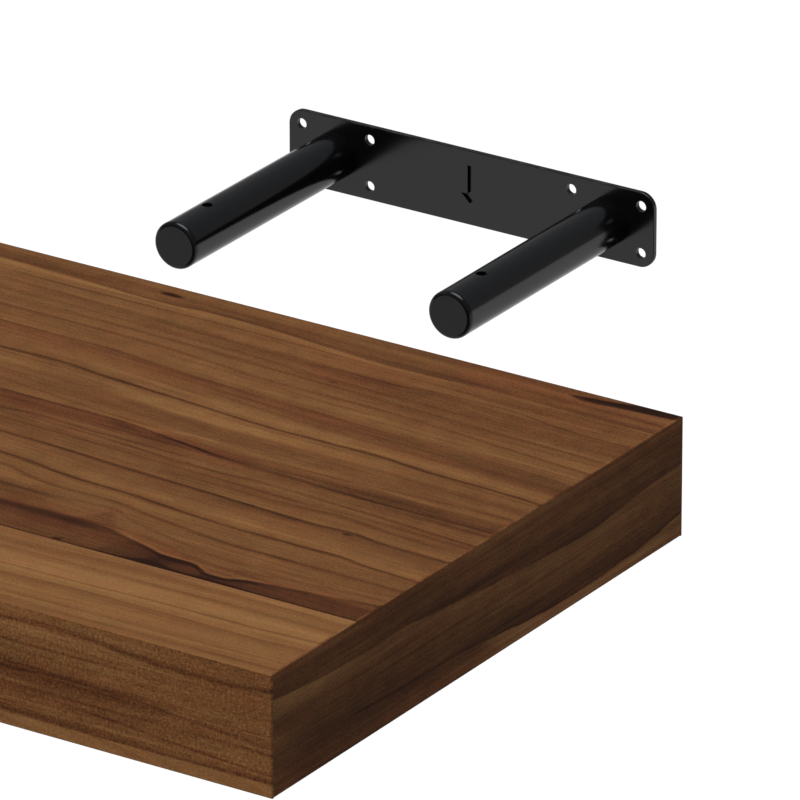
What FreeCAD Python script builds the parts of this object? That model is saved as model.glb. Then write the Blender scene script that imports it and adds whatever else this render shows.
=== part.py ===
import FreeCAD, Part
import math
import os

# Floating wall shelf with its hidden bracket, drawn apart as when the board is about to be pushed on.
# The wall is the plane y = 0 and the room is on the -Y side. X runs along the shelf, Z is up.
# The origin is the centre of the bracket's back face. Lengths are millimetres.

Vector = FreeCAD.Vector
SIDES = {"left": -1, "right": 1}

# Board: overall size, skins, edge strips and frame
board_length = 400.0
board_depth = 250.0
board_thickness = 43.8
skin_thickness = 3.0
band_thickness = 1.0
band_arris = 0.4
front_rail_width = 30.0
end_rail_width = 30.0
back_rail_width = 40.0

# Paper honeycomb between the skins
cell_across_flats = 20.0
cell_wall = 0.6
core_gap = 0.5

# Bracket plate
plate_length = 156.0
plate_height = 28.7
plate_thickness = 2.0
plate_corner_radius = 6.0
wall_hole_diameter = 4.1
wall_hole_edge_inset = 5.3
outer_hole_end_inset = 5.5
inner_hole_end_inset = 34.9

# Bracket posts and their end caps
post_diameter = 17.8
post_wall = 1.5
post_end_inset = 20.0
post_reach = 103.5
cross_hole_tip_inset = 20.8
cap_flange_thickness = 2.0
cap_rim_chamfer = 1.2
cap_shank_length = 9.0
cap_shank_wall = 1.6
cap_fit_clearance = 0.05

# Fit of the board on the bracket, and how far in front of the plate it is drawn
board_gap = 177.2
post_clearance = 0.3
post_tip_clearance = 3.0
plate_clearance = 1.5
wall_screw_head_room = 4.0
post_block_width = 60.0
post_block_floor = 12.0

# Locking screws, driven up from the underside of the board
screw_diameter = 3.5
screw_point_length = 3.0
screw_point_flat = 0.3
screw_head_diameter = 6.8
screw_head_height = 2.2
screw_head_crown = 0.7
screw_clearance = 0.25
screw_head_clearance = 0.6
screw_head_recess = 0.3
screw_overrun = 0.5
screw_tip_margin = 0.4

# One overrun serves every cut that has to pass right through
overrun = 1.0

# Outside of the board, and the frame inside it
half_length = board_length / 2
half_thickness = board_thickness / 2
half_frame_height = half_thickness - skin_thickness
board_back = -plate_thickness - board_gap
board_front = board_back - board_depth
inner_half_length = half_length - band_thickness
frame_back = board_back - band_thickness
frame_front = board_front + band_thickness
core_back = frame_back - back_rail_width
core_front = frame_front + front_rail_width
core_half_length = inner_half_length - end_rail_width

# Bracket
half_plate_length = plate_length / 2
half_plate_height = plate_height / 2
post_radius = post_diameter / 2
post_bore_radius = post_radius - post_wall
post_x = half_plate_length - post_end_inset
post_tip = -plate_thickness - post_reach
tube_end = post_tip + cap_flange_thickness
cross_hole_y = post_tip + cross_hole_tip_inset

# What the board has cut into it for the bracket
bore_radius = post_radius + post_clearance
bore_end = board_back + post_tip - post_tip_clearance
pocket_end = board_back - plate_thickness - wall_screw_head_room
block_front = bore_end - post_block_floor
half_block_width = post_block_width / 2

# A locking screw stands clear below the bore until it is driven, and its head stays in the recess
screw_radius = screw_diameter / 2
screw_hole_radius = screw_radius + screw_clearance
screw_recess_radius = screw_head_diameter / 2 + screw_head_clearance
driven_tip = post_wall - post_radius + screw_overrun + screw_point_length
resting_tip = -bore_radius - screw_tip_margin
screw_travel = driven_tip - resting_tip
recess_floor = screw_head_recess + screw_head_height + screw_travel - half_thickness
screw_length = driven_tip - recess_floor
screw_y = board_back + cross_hole_y


def box(x_start, x_end, y_start, y_end, z_start, z_end):
    """Box between two opposite corners, given in any order."""
    corner = Vector(min(x_start, x_end), min(y_start, y_end), min(z_start, z_end))
    return Part.makeBox(abs(x_end - x_start), abs(y_end - y_start), abs(z_end - z_start), corner)


def rod(radius, start, end):
    """Round rod between two points."""
    way = end - start
    return Part.makeCylinder(radius, way.Length, start, way)


def face_towards(shape, direction):
    """Face of a box-like shape that lies furthest in a direction."""
    return max(shape.Faces, key=lambda face: face.CenterOfMass.dot(direction))


def edges_along(shape, direction):
    """Straight edges of a shape that run along a direction."""
    chosen = []
    for edge in shape.Edges:
        run = edge.lastVertex().Point - edge.firstVertex().Point
        if run.cross(direction).Length < Part.Precision.confusion():
            chosen.append(edge)
    return chosen


def rounded_plate(half_width, half_height, corner_radius, front, back):
    """Upright plate on the XZ plane with its four corners rounded."""
    plate = box(-half_width, half_width, front, back, -half_height, half_height)
    return plate.makeFillet(corner_radius, edges_along(plate, Vector(0, 1, 0)))


def lathe(points, centre, axis):
    """Solid turned about an axis from a closed outline of points."""
    face = Part.Face(Part.makePolygon(points + points[:1]))
    return face.revolve(centre, axis, 360)


# Bracket

def wall_plate():
    """Steel plate with two rows of four wall-screw holes and a hole for each post."""
    plate = rounded_plate(half_plate_length, half_plate_height, plate_corner_radius, -plate_thickness, 0)
    front = -plate_thickness - overrun
    row_z = half_plate_height - wall_hole_edge_inset
    for side in SIDES.values():
        for end_inset in (outer_hole_end_inset, inner_hole_end_inset):
            x = side * (half_plate_length - end_inset)
            for z in (-row_z, row_z):
                plate = plate.cut(rod(wall_hole_diameter / 2, Vector(x, front, z), Vector(x, overrun, z)))
        x = side * post_x
        plate = plate.cut(rod(post_radius, Vector(x, front, 0), Vector(x, overrun, 0)))
    return plate


def post(side):
    """Tube set through the plate, drilled crosswise near its free end for the locking screw."""
    x = side * post_x
    tube = rod(post_radius, Vector(x, tube_end, 0), Vector(x, 0, 0))
    tube = tube.cut(rod(post_bore_radius, Vector(x, tube_end - overrun, 0), Vector(x, overrun, 0)))
    low = Vector(x, cross_hole_y, -post_diameter)
    high = Vector(x, cross_hole_y, post_diameter)
    return tube.cut(rod(screw_hole_radius, low, high))


def end_cap(side):
    """Plug that closes a post: a flange with a chamfered rim on a hollow shank."""
    x = side * post_x
    shank_radius = post_bore_radius - cap_fit_clearance
    hollow_radius = shank_radius - cap_shank_wall
    shank_end = tube_end + cap_shank_length
    points = [
        Vector(x, post_tip, 0),
        Vector(x + post_radius - cap_rim_chamfer, post_tip, 0),
        Vector(x + post_radius, post_tip + cap_rim_chamfer, 0),
        Vector(x + post_radius, tube_end, 0),
        Vector(x + shank_radius, tube_end, 0),
        Vector(x + shank_radius, shank_end, 0),
        Vector(x + hollow_radius, shank_end, 0),
        Vector(x + hollow_radius, tube_end, 0),
        Vector(x, tube_end, 0),
    ]
    return lathe(points, Vector(x, 0, 0), Vector(0, 1, 0))


# Board

def cut_for_bracket(shape):
    """Cut the plate's pocket and both post bores, as far as they reach into a piece."""
    half_width = half_plate_length + plate_clearance
    half_height = half_plate_height + plate_clearance
    radius = plate_corner_radius + plate_clearance
    shape = shape.cut(rounded_plate(half_width, half_height, radius, pocket_end, board_back + overrun))
    for side in SIDES.values():
        x = side * post_x
        shape = shape.cut(rod(bore_radius, Vector(x, bore_end, 0), Vector(x, board_back, 0)))
    return shape


def cut_for_screws(shape):
    """Cut the head recesses and the screw holes, as far as they reach into a piece."""
    for side in SIDES.values():
        x = side * post_x
        below = Vector(x, screw_y, -half_thickness - overrun)
        shape = shape.cut(rod(screw_recess_radius, below, Vector(x, screw_y, recess_floor)))
        shape = shape.cut(rod(screw_hole_radius, below, Vector(x, screw_y, 0)))
    return shape


def inner_slab(front, back, bottom, top):
    """Slab over the whole length of the board inside its edge strips."""
    return box(-inner_half_length, inner_half_length, front, back, bottom, top)


def top_panel():
    """Upper skin."""
    return inner_slab(frame_front, frame_back, half_frame_height, half_thickness)


def bottom_panel():
    """Lower skin with the two screw recesses."""
    return cut_for_screws(inner_slab(frame_front, frame_back, -half_thickness, -half_frame_height))


def long_band(outer, inner):
    """Edge strip over the whole length of the board, its arrises broken on the outer side."""
    band = box(-half_length, half_length, outer, inner, -half_thickness, half_thickness)
    outer_face = face_towards(band, Vector(0, outer - inner, 0))
    return band.makeFillet(band_arris, outer_face.Edges)


def end_band(side):
    """Edge strip of one end, between the front and back strips."""
    outer = side * half_length
    inner = side * inner_half_length
    band = box(outer, inner, frame_front, frame_back, -half_thickness, half_thickness)
    outer_face = face_towards(band, Vector(side, 0, 0))
    return band.makeFillet(band_arris, edges_along(outer_face, Vector(0, 1, 0)))


def front_rail():
    """Frame rail behind the front strip."""
    return inner_slab(frame_front, core_front, -half_frame_height, half_frame_height)


def back_rail():
    """Frame rail in front of the back strip, with the plate's pocket and both post bores."""
    return cut_for_bracket(inner_slab(core_back, frame_back, -half_frame_height, half_frame_height))


def end_rail(side):
    """Frame rail of one end, between the front and back rails."""
    outer = side * inner_half_length
    inner = side * core_half_length
    return box(outer, inner, core_front, core_back, -half_frame_height, half_frame_height)


def post_block(side):
    """Block in front of the back rail that carries one post and holds its locking screw."""
    x = side * post_x
    left = x - half_block_width
    right = x + half_block_width
    block = box(left, right, block_front, core_back, -half_frame_height, half_frame_height)
    return cut_for_screws(cut_for_bracket(block))


def core_cells():
    """Columns and rows of the honeycomb cells that fit between the rails and clear of the blocks."""
    corner_radius = cell_across_flats / math.sqrt(3)
    row_pitch = corner_radius * 3 / 2
    room = core_back - core_front - 2 * core_gap - 2 * corner_radius
    row_count = int(room / row_pitch) + 1
    first_y = (core_front + core_back - (row_count - 1) * row_pitch) / 2
    column_limit = int(core_half_length / cell_across_flats) + 1
    cells = []
    for row in range(row_count):
        y = first_y + row * row_pitch
        beside_blocks = y + corner_radius + core_gap > block_front
        for column in range(-column_limit, column_limit + 1):
            x = (2 * column + row % 2) * cell_across_flats / 2
            half_room = cell_across_flats / 2 + core_gap
            inside = abs(x) + half_room <= core_half_length
            in_block = beside_blocks and abs(abs(x) - post_x) < half_block_width + half_room
            if inside and not in_block:
                cells.append((2 * column + row % 2, 3 * row))
    return joined_cells(cells), corner_radius, first_y


def joined_cells(cells):
    """The cells that share walls, one after the other, with the first cell."""
    joined = []
    waiting = cells[:1]
    while waiting:
        column, row = waiting.pop()
        joined.append((column, row))
        for step in ((2, 0), (-2, 0), (1, 3), (-1, 3), (1, -3), (-1, -3)):
            neighbour = (column + step[0], row + step[1])
            if neighbour in cells and neighbour not in joined and neighbour not in waiting:
                waiting.append(neighbour)
    return joined


def core_outlines(cells):
    """Closed outlines round the cells, as lattice points, each with the web on its left."""
    corner_steps = [(0, -2), (1, -1), (1, 1), (0, 2), (-1, 1), (-1, -1)]
    walls = set()
    for column, row in cells:
        corners = [(column + step[0], row + step[1]) for step in corner_steps]
        for start, end in zip(corners, corners[1:] + corners[:1]):
            walls.add((start, end))
    following = {}
    for start, end in walls:
        if (end, start) not in walls:
            following[start] = end
    outlines = []
    while following:
        start = min(following)
        outline = [start]
        point = following.pop(start)
        while point != start:
            outline.append(point)
            point = following.pop(point)
        outlines.append(outline)
    return outlines


def grown_outline(points, growth):
    """Closed wire through the points, moved out to the right of its run by the growth."""
    moved = []
    for index, point in enumerate(points):
        run_in = (point - points[index - 1]).normalize()
        run_out = (points[(index + 1) % len(points)] - point).normalize()
        outward = (run_in + run_out).cross(Vector(0, 0, 1)).normalize()
        lean = outward.dot(run_in.cross(Vector(0, 0, 1)))
        moved.append(point + outward * (growth / lean))
    return Part.makePolygon(moved + moved[:1])


def honeycomb_core():
    """Web of hexagonal paper cells, open to the skins above and below."""
    cells, corner_radius, first_y = core_cells()
    half_wall = cell_wall / 2

    def place(lattice_point):
        x = lattice_point[0] * cell_across_flats / 2
        y = first_y + lattice_point[1] * corner_radius / 2
        return Vector(x, y, -half_frame_height)

    wires = []
    for outline in core_outlines(cells):
        wires.append(grown_outline([place(point) for point in outline], half_wall))
    for column, row in cells:
        cell = core_outlines([(column, row)])[0]
        wires.append(grown_outline([place(point) for point in cell], -half_wall))
    web = Part.makeFace(wires, "Part::FaceMakerBullseye")
    return web.extrude(Vector(0, 0, 2 * half_frame_height))


def locking_screw(side):
    """Pan head screw, point up, backed out so that the post's bore is clear."""
    x = side * post_x
    seat = resting_tip - screw_length
    head_face = seat - screw_head_height
    head_radius = screw_head_diameter / 2
    points = [
        Vector(x, screw_y, resting_tip),
        Vector(x + screw_point_flat / 2, screw_y, resting_tip),
        Vector(x + screw_radius, screw_y, resting_tip - screw_point_length),
        Vector(x + screw_radius, screw_y, seat),
        Vector(x + head_radius, screw_y, seat),
        Vector(x + head_radius, screw_y, head_face + screw_head_crown),
        Vector(x + head_radius - screw_head_crown, screw_y, head_face),
        Vector(x, screw_y, head_face),
    ]
    return lathe(points, Vector(x, screw_y, 0), Vector(0, 0, 1))


def all_pieces():
    """Every node of the shelf with its shape."""
    pieces = {
        "wall_plate": wall_plate(),
        "top_panel": top_panel(),
        "bottom_panel": bottom_panel(),
        "front_edge_band": long_band(board_front, frame_front),
        "back_edge_band": cut_for_bracket(long_band(board_back, frame_back)),
        "front_rail": front_rail(),
        "back_rail": back_rail(),
        "honeycomb_core": honeycomb_core(),
    }
    for name, side in SIDES.items():
        pieces[name + "_post"] = post(side)
        pieces[name + "_end_cap"] = end_cap(side)
        pieces[name + "_edge_band"] = end_band(side)
        pieces[name + "_end_rail"] = end_rail(side)
        pieces[name + "_post_block"] = post_block(side)
        pieces[name + "_locking_screw"] = locking_screw(side)
    return pieces


os.makedirs("parts", exist_ok=True)
for node, shape in all_pieces().items():
    shape.exportStep("parts/" + node + ".step")
    print(node, len(shape.Solids), "solid, valid", shape.isValid(), "volume", round(shape.Volume, 1))
print("screw travel", round(screw_travel, 3), "screw length", round(screw_length, 3))
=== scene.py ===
import bmesh
import bpy
import math
from mathutils import Matrix, Vector


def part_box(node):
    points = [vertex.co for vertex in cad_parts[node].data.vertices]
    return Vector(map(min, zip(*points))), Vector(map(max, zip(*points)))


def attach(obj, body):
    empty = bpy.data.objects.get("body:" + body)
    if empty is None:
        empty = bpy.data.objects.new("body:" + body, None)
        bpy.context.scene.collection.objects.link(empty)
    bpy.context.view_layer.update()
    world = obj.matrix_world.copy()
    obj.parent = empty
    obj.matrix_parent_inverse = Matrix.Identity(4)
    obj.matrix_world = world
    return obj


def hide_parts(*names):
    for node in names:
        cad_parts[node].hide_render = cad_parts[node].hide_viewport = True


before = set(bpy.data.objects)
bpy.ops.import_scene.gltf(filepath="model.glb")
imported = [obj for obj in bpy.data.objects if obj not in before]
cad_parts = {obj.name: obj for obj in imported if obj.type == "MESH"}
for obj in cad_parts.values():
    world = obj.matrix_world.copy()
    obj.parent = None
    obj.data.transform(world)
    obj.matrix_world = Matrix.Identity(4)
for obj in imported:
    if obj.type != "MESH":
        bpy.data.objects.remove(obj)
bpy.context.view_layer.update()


# Camera
# A long lens at the front right of the shelf, 23 degrees above it, as in the photograph.
# The aim point is the point of the part that lies in the middle of the frame.

mm = 0.001
camera_azimuth = math.radians(33.1655)
camera_elevation = math.radians(23.275)
camera_aim = Vector((112.27, -219.65, 21.85)) * mm
camera_distance = 3761.4 * mm

towards_camera = Vector((
    math.sin(camera_azimuth) * math.cos(camera_elevation),
    -math.cos(camera_azimuth) * math.cos(camera_elevation),
    math.sin(camera_elevation),
))
camera = bpy.data.objects.new("camera", bpy.data.cameras.new("camera"))
camera.data.lens = 500
camera.data.sensor_width = 36
camera.location = camera_aim + towards_camera * camera_distance
camera.rotation_mode = "QUATERNION"
camera.rotation_quaternion = (-towards_camera).to_track_quat("-Z", "Y")
bpy.context.scene.collection.objects.link(camera)
bpy.context.scene.camera = camera
bpy.context.scene.view_settings.view_transform = "Standard"


# Light and floor
# One large soft lamp high at the front left, an even pale room, and a white floor well below the shelf.
# What shines in the black steel is a dim room with a bright ceiling patch and a dark corner at the camera.

floor_height = -600 * mm
floor_radius = 40.0
floor_paint = 0.9
floor_bounce = 0.35
floor_lift = 0.12
room_light = 0.35
lamp_light = 0.72
lamp_direction = Vector((-0.15, -0.27, 0.65))
room_gloss = 0.22
floor_gloss = 0.8
corner_gloss = 0.05
ceiling_gloss = 5.5
right_dimming = 0.5
rear_dimming = 0.4
rear_glow = 0.3
sky_tint = (0.93, 0.98, 1.06, 1)
right_tint = (1.0, 1.06, 1.32, 1)
camera_corner = Vector((0.3, -0.75, -0.6)).normalized()


class Shade:
    """One value in a finish. Sums written with it add Math nodes to that finish."""

    def __init__(self, finish, socket):
        self.finish = finish
        self.socket = socket

    def maths(self, operation, *terms):
        return self.finish.node("ShaderNodeMath", {"operation": operation}, dict(enumerate(terms)))

    def __add__(self, other):
        return self.maths("ADD", self, other)

    def __sub__(self, other):
        return self.maths("SUBTRACT", self, other)

    def __rsub__(self, other):
        return self.maths("SUBTRACT", other, self)

    def __mul__(self, other):
        return self.maths("MULTIPLY", self, other)

    def __truediv__(self, other):
        return self.maths("DIVIDE", self, other)

    __radd__ = __add__
    __rmul__ = __mul__

    def either(self, other):
        return self.maths("MAXIMUM", self, other)

    def unsigned(self):
        """The value without its sign."""
        return self.either(self * -1)

    def squared(self):
        return self * self

    def rise(self, low, high):
        """From 0 at low to 1 at high, eased at both ends."""
        sockets = {"Value": self, "From Min": low, "From Max": high}
        return self.finish.node("ShaderNodeMapRange", {"interpolation_type": "SMOOTHSTEP"}, sockets)


class Finish:
    """The node tree of a material or of the room, to which nodes are added one by one."""

    def __init__(self, owner):
        owner.use_nodes = True
        self.owner = owner
        self.tree = owner.node_tree

    def node(self, kind, settings=None, sockets=None, output=0):
        """Adds a node, with its settings first and then the values or links of its sockets."""
        node = self.tree.nodes.new(kind)
        for name, value in (settings or {}).items():
            if name == "stops":
                ramp = node.color_ramp
                while len(ramp.elements) < len(value):
                    ramp.elements.new(0.5)
                for element, (place, colour) in zip(ramp.elements, value):
                    element.position = place
                    element.color = colour
            elif name == "points":
                line = node.mapping.curves[0]
                while len(line.points) < len(value):
                    line.points.new(0.5, 0.5)
                for point, place in zip(line.points, value):
                    point.location = place
                    point.handle_type = "AUTO_CLAMPED"
                node.mapping.update()
            else:
                setattr(node, name, value)
        self.feed(node, sockets or {})
        return Shade(self, node.outputs[output])

    def feed(self, node, sockets):
        """Gives sockets of a node their values or links."""
        for name, value in sockets.items():
            if isinstance(value, Shade):
                self.tree.links.new(value.socket, node.inputs[name])
            else:
                node.inputs[name].default_value = value

    def surface(self, sockets):
        """Values or links for the sockets of the material's own shader."""
        self.feed(self.tree.nodes["Principled BSDF"], sockets)
        return self.owner

    def mix(self, share, first, second):
        """Colour between the first, at share 0, and the second, at share 1."""
        settings = {"data_type": "RGBA"}
        return self.node("ShaderNodeMix", settings, {0: share, 6: first, 7: second}, output=2)

    def looked_at(self):
        """1 for what the camera sees, straight or through something clear, and 0 for light and gloss."""
        return self.node("ShaderNodeLightPath", output="Is Camera Ray").either(
            self.node("ShaderNodeLightPath", output="Is Transmission Ray"))

    def place(self):
        """Place on the piece."""
        return self.node("ShaderNodeTexCoord", output="Object")

    def point(self, x, y, z):
        """Point from its three values."""
        return self.node("ShaderNodeCombineXYZ", sockets={0: x, 1: y, 2: z})

    def relief(self, strength, depth, height):
        """Small unevenness of the surface."""
        return self.node("ShaderNodeBump", sockets={"Strength": strength, "Distance": depth, "Height": height})


def grey(level):
    """Grey of a given lightness."""
    return (level, level, level, 1)


room = Finish(bpy.data.worlds.new("room"))
bpy.context.scene.world = room.owner
room.owner.cycles.sampling_method = "NONE"
direction = room.node("ShaderNodeTexCoord")


def turned_towards(way):
    """How far a direction in the room turns towards a way, from -1 to 1."""
    settings = {"operation": "DOT_PRODUCT"}
    return room.node("ShaderNodeVectorMath", settings, {0: direction, 1: way}, output="Value")


height = room.node("ShaderNodeSeparateXYZ", sockets={0: direction}, output=2)
cornerward = turned_towards(camera_corner)
rearward = turned_towards(-towards_camera)
rightward = room.node("ShaderNodeSeparateXYZ", sockets={0: direction}, output=0)
lower_gloss = floor_gloss * cornerward.rise(0.9, 0.7) * (
    1 - rear_dimming * rearward.rise(0.2, 0.75) + rear_glow * rearward.rise(0.8, 1)) + corner_gloss
gloss = room_gloss + (ceiling_gloss - room_gloss) * height.rise(0.84, 0.97)
gloss = gloss * height.rise(-0.02, 0.02) + lower_gloss * height.rise(0.02, -0.02)
seen = room.looked_at()
shining = room.node("ShaderNodeLightPath", output="Is Glossy Ray")
strength = room_light * (1 - right_dimming * rightward) * (1 - shining) + gloss * shining
strength = strength * (1 - seen) + seen
tint = room.mix(height.rise(0.2, 0.6) * shining, grey(1), sky_tint)
tint = room.mix(rightward.rise(0, 0.5) * (1 - shining) * (1 - seen), tint, right_tint)
room.feed(room.tree.nodes["Background"], {"Color": tint, "Strength": strength})

lamp = bpy.data.objects.new("soft_lamp", bpy.data.lights.new("soft_lamp", "SUN"))
lamp.data.energy = lamp_light * math.pi
lamp.data.angle = math.radians(25)
lamp.rotation_mode = "QUATERNION"
lamp.rotation_quaternion = lamp_direction.to_track_quat("Z", "Y")
lamp.visible_glossy = False
bpy.context.scene.collection.objects.link(lamp)

disc = bmesh.new()
bmesh.ops.create_circle(disc, cap_ends=True, segments=64, radius=floor_radius,
                        matrix=Matrix.Translation((0, 0, floor_height)))
floor = bpy.data.objects.new("floor", bpy.data.meshes.new("floor"))
disc.to_mesh(floor.data)
disc.free()
bpy.context.scene.collection.objects.link(floor)
floor.visible_glossy = False

pale = Finish(bpy.data.materials.new("pale_floor"))
looked_at = pale.looked_at()
paint = pale.node("ShaderNodeBsdfDiffuse", sockets={
    "Color": pale.mix(looked_at, grey(floor_bounce), grey(floor_paint))})
lift = pale.node("ShaderNodeEmission", sockets={"Color": grey(1), "Strength": looked_at * floor_lift})
lit = pale.node("ShaderNodeAddShader", sockets={0: paint, 1: lift})
clear = pale.node("ShaderNodeBsdfTransparent")
underneath = pale.node("ShaderNodeNewGeometry", output="Backfacing")
sides = pale.node("ShaderNodeMixShader", sockets={0: underneath, 1: lit, 2: clear})
pale.feed(pale.tree.nodes["Material Output"], {"Surface": sides})
floor.data.materials.append(pale.owner)


# Wall plate
# A 2 mm steel plate with rounded corners, punched for eight wall screws and for the two posts.
# The arrow that points down is pressed into it. The whole bracket is coated in gloss black.

plate_corner_radius = 6 * mm
plate_edge_round = 0.3 * mm
wall_hole_radius = 2.05 * mm
wall_hole_rows = 9.05 * mm
wall_hole_columns = (43.1 * mm, 72.5 * mm)
post_radius = 8.9 * mm
post_x = 58 * mm
arrow_depth = 1.15 * mm
arrow_top = 8.6 * mm
arrow_shoulder = -2.4 * mm
arrow_tip = -6.1 * mm
arrow_half_stem = 1.0 * mm
arrow_half_head = 3.72 * mm
coat_black = (0.003, 0.003, 0.0032, 1)
coat_roughness = 0.17
rubbed_black = (0.02, 0.02, 0.021, 1)
coat_rub = 0.8


def drawn_loop(bm, corners):
    """Closed loop of edges through corners in the XY plane."""
    verts = [bm.verts.new((x, y, 0)) for x, y in corners]
    return [bm.edges.new(pair) for pair in zip(verts, verts[1:] + verts[:1])]


def round_loop(bm, x, y, radius, segments):
    """Round loop of edges in the XY plane."""
    place = Matrix.Translation((x, y, 0))
    verts = bmesh.ops.create_circle(bm, segments=segments, radius=radius, matrix=place)["verts"]
    return list({edge for vert in verts for edge in vert.link_edges})


def filled(bm, edges):
    """Flat faces between loops of edges, facing up. A loop inside another one is left open."""
    made = bmesh.ops.triangle_fill(bm, use_beauty=True, use_dissolve=False, edges=edges)["geom"]
    faces = [item for item in made if isinstance(item, bmesh.types.BMFace)]
    bmesh.ops.reverse_faces(bm, faces=[face for face in faces if face.normal.z < 0])
    return faces


def pushed(bm, faces, way):
    """The faces, extruded along a way."""
    made = bmesh.ops.extrude_face_region(bm, geom=faces)["geom"]
    verts = [item for item in made if isinstance(item, bmesh.types.BMVert)]
    bmesh.ops.translate(bm, verts=verts, vec=way)
    return [item for item in made if isinstance(item, bmesh.types.BMFace)]


def sunk(bm, faces, depth):
    """The floor of a pocket, pressed in where the faces were."""
    floor_faces = pushed(bm, faces, Vector((0, 0, -depth)))
    bmesh.ops.delete(bm, geom=faces, context="FACES")
    return floor_faces


def softened(bm, edges, width, segments):
    """Rounds edges over a width."""
    bmesh.ops.bevel(bm, geom=edges, offset=width, offset_type="OFFSET", segments=segments, profile=0.5,
                    affect="EDGES", clamp_overlap=True, material=-1)


def sharp_edges(bm, chosen):
    """Edges that turn by more than 50 degrees and whose middle passes the test."""
    found = []
    for edge in bm.edges:
        middle = (edge.verts[0].co + edge.verts[1].co) / 2
        if edge.is_manifold and edge.calc_face_angle() > math.radians(50) and chosen(middle):
            found.append(edge)
    return found


def placed(bm, name, finish, body, slot, *nodes):
    """Makes the mesh a piece that rides on a body in place of its CAD nodes."""
    mesh = bpy.data.meshes.new(name)
    bm.to_mesh(mesh)
    bm.free()
    mesh.materials.append(finish)
    mesh.shade_smooth()
    mesh.set_sharp_from_angle(angle=math.radians(42))
    piece = bpy.data.objects.new(name, mesh)
    bpy.context.scene.collection.objects.link(piece)
    evened = piece.modifiers.new("even_shading", "WEIGHTED_NORMAL")
    evened.keep_sharp = True
    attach(piece, body)
    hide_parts(*nodes)
    return piece


def noise(finish, point, scale, detail=2.0, roughness=0.5):
    """Soft noise about 0, from about -0.3 to 0.3."""
    sockets = {"Vector": point, "Scale": scale, "Detail": detail, "Roughness": roughness}
    return finish.node("ShaderNodeTexNoise", {}, sockets) - 0.5


def in_millimetres(finish):
    """Place on the piece, in millimetres along X, Y and Z."""
    point = finish.place()
    split = finish.node("ShaderNodeSeparateXYZ", sockets={0: point}).socket.node
    return [Shade(finish, split.outputs[axis]) * 1000 for axis in range(3)]


def black_coat():
    """Gloss black coat on steel, with orange peel, a few duller clouds from handling, and rubbed rims."""
    finish = Finish(bpy.data.materials.new("black_coat"))
    point = finish.place()
    x, y, z = in_millimetres(finish)
    plate_end, plate_top, tube_end = plate_high.x / mm, plate_high.z / mm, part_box("left_post")[0].y / mm
    ends = x.unsigned().rise(plate_end - coat_rub, plate_end - 0.1)
    long_sides = z.unsigned().rise(plate_top - coat_rub, plate_top - 0.1)
    rims = ends.either(long_sides).either(y.rise(tube_end + coat_rub, tube_end + 0.1))
    rubbed = rims * noise(finish, point, 260.0, 3.0).rise(-0.05, 0.2)
    clouds = noise(finish, point, 90.0, 3.0)
    specks = noise(finish, point, 1400.0, 2.0)
    peel = finish.relief(0.05, 0.02 * mm, noise(finish, point, 900.0, 1.0))
    return finish.surface({
        "Base Color": finish.mix(rubbed * 0.5, coat_black, rubbed_black),
        "Roughness": coat_roughness + clouds * 0.06 + specks * 0.03 + rubbed * 0.1,
        "IOR": 1.48,
        "Normal": peel,
    })


plate_low, plate_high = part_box("wall_plate")
coated_steel = black_coat()
plate = bmesh.new()
bmesh.ops.create_grid(plate, x_segments=1, y_segments=1, size=1,
                      matrix=Matrix.Diagonal((plate_high.x, plate_high.z, 1, 1)))
bmesh.ops.bevel(plate, geom=plate.verts[:], offset=plate_corner_radius, offset_type="OFFSET", segments=16,
                profile=0.5, affect="VERTICES", material=-1)
bmesh.ops.delete(plate, geom=plate.faces[:], context="FACES_ONLY")
for side in (-1, 1):
    round_loop(plate, side * post_x, 0, post_radius, 96)
    for column in wall_hole_columns:
        for row in (-wall_hole_rows, wall_hole_rows):
            round_loop(plate, side * column, row, wall_hole_radius, 40)
arrow = drawn_loop(plate, [
    (-arrow_half_stem, arrow_top),
    (-arrow_half_stem, arrow_shoulder),
    (-arrow_half_head, arrow_shoulder),
    (0, arrow_tip),
    (arrow_half_head, arrow_shoulder),
    (arrow_half_stem, arrow_shoulder),
    (arrow_half_stem, arrow_top),
])
front = filled(plate, plate.edges[:])
arrow_faces = filled(plate, arrow)
thickness = plate_high.y - plate_low.y


def on_outline(at):
    """Whether a place on the plate lies on its outer edge."""
    past = Vector((abs(at.x) - plate_high.x, abs(at.y) - plate_high.z)) + Vector((1, 1)) * plate_corner_radius
    return Vector((max(past.x, 0), max(past.y, 0))).length > 0.98 * plate_corner_radius


pushed(plate, front + arrow_faces, Vector((0, 0, -thickness)))
bmesh.ops.recalc_face_normals(plate, faces=plate.faces[:])
sunk(plate, arrow_faces, arrow_depth)
softened(plate, sharp_edges(plate, on_outline), plate_edge_round, 3)
bmesh.ops.rotate(plate, verts=plate.verts[:], matrix=Matrix.Rotation(math.radians(90), 3, "X"))
bmesh.ops.translate(plate, verts=plate.verts[:], vec=Vector((0, plate_low.y, 0)))
placed(plate, "punched_wall_plate", coated_steel, "bracket", "black_steel", "wall_plate")


# Posts
# Two steel tubes set through the plate, 17.8 mm across with a 1.5 mm wall, coated with it.
# Near its free end each is drilled from top to bottom for the screw that locks the board.

post_wall = 1.5 * mm
cross_hole_radius = 2 * mm
cross_hole_y = -84.7 * mm
post_strips = 120


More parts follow.
